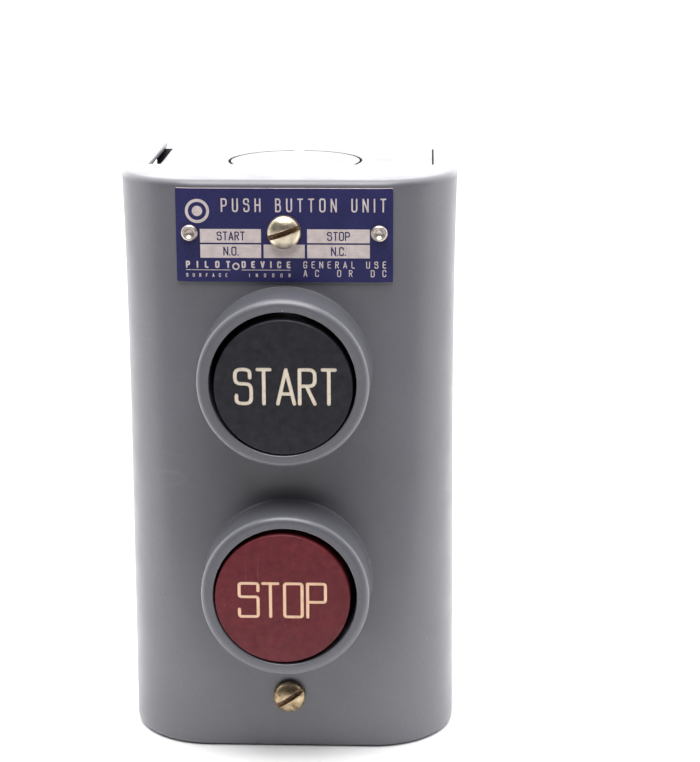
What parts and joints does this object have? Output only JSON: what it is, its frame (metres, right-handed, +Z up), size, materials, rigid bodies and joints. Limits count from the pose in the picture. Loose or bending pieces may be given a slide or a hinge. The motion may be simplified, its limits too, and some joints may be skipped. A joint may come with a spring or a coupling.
{
  "type": "push-button control station",
  "caption": "Surface-mounted start/stop push-button station: grey sheet-steel case with drawn collars, nameplate, spring-return buttons and a contact block inside.",
  "frame": {"origin": "centre of the case's footprint, on the surface that its lower end stands on", "axes": "+Z up along the case, the buttons face -Y, the back that goes on the wall faces +Y, +X to the right seen from the front"},
  "size_m": [0.07, 0.0654, 0.1231],
  "materials": {
    "grey_enamel": "semi-gloss enamel, faint orange peel",
    "blue_enamel": "satin printed enamel",
    "nickel": "satin nickel plate",
    "brass": "worn semi-bright",
    "steel": "zinc plate, satin",
    "spring_steel": "oiled wire",
    "silver": "fine silver, satin",
    "black_phenolic": "moulded phenolic, satin",
    "red_phenolic": "moulded phenolic, satin",
    "brown_phenolic": "moulded phenolic, satin",
    "red_fibre": "vulcanised fibre, matt",
    "fish_paper": "pressed insulating paper, matt"
  },
  "bodies": {
    "root": {"front_cover": "grey_enamel", "back_box": "grey_enamel", "nameplate": "blue_enamel", "nameplate_rivet_left": "nickel", "nameplate_rivet_right": "nickel", "cover_screw_upper": "brass", "cover_screw_lower": "brass", "screw_retainer_upper": "red_fibre", "screw_retainer_lower": "red_fibre", "contact_block": "black_phenolic", "guide_plate": "brown_phenolic", "insulating_sheet": "fish_paper", "terminal_link": "brass", "block_screw_left": "steel", "block_screw_right": "steel", "plate_screw_lower_left": "steel", "plate_screw_lower_right": "steel", "plate_screw_upper_left": "steel", "plate_screw_upper_right": "steel", "start_return_spring": "spring_steel", "start_fixed_tip_left": "silver", "start_strip_left": "brass", "start_wire_clamp_left": "steel", "start_terminal_screw_left": "brass", "start_fixed_tip_right": "silver", "start_strip_right": "brass", "start_wire_clamp_right": "steel", "start_terminal_screw_right": "brass", "stop_return_spring": "spring_steel", "stop_fixed_tip_left": "silver", "stop_strip_left": "brass", "stop_wire_clamp_left": "steel", "stop_terminal_screw_left": "brass", "stop_fixed_tip_right": "silver", "stop_strip_right": "brass", "stop_wire_clamp_right": "steel", "stop_terminal_screw_right": "brass"},
    "start_push_button": {"start_button_cap": "black_phenolic", "start_cap_pin": "steel", "start_plunger": "brown_phenolic", "start_contact_spring": "spring_steel", "start_bridge_clip": "steel", "start_bridge": "brass", "start_moving_tip_left": "silver", "start_moving_tip_right": "silver"},
    "stop_push_button": {"stop_button_cap": "red_phenolic", "stop_cap_pin": "steel", "stop_plunger": "brown_phenolic", "stop_contact_spring": "spring_steel", "stop_bridge_clip": "steel", "stop_bridge": "brass", "stop_moving_tip_left": "silver", "stop_moving_tip_right": "silver"}
  },
  "joints": [
    {"name": "start_press", "type": "slide", "parent": "root", "child": "start_push_button", "axis": [0, 1, 0], "range_m": [0, 0.004], "stiffness_N_per_m": 500, "springref_m": -0.004, "deforming": ["start_return_spring"]},
    {"name": "stop_press", "type": "slide", "parent": "root", "child": "stop_push_button", "axis": [0, 1, 0], "range_m": [0, 0.004], "stiffness_N_per_m": 500, "springref_m": -0.004, "deforming": ["stop_return_spring"]}
  ]
}
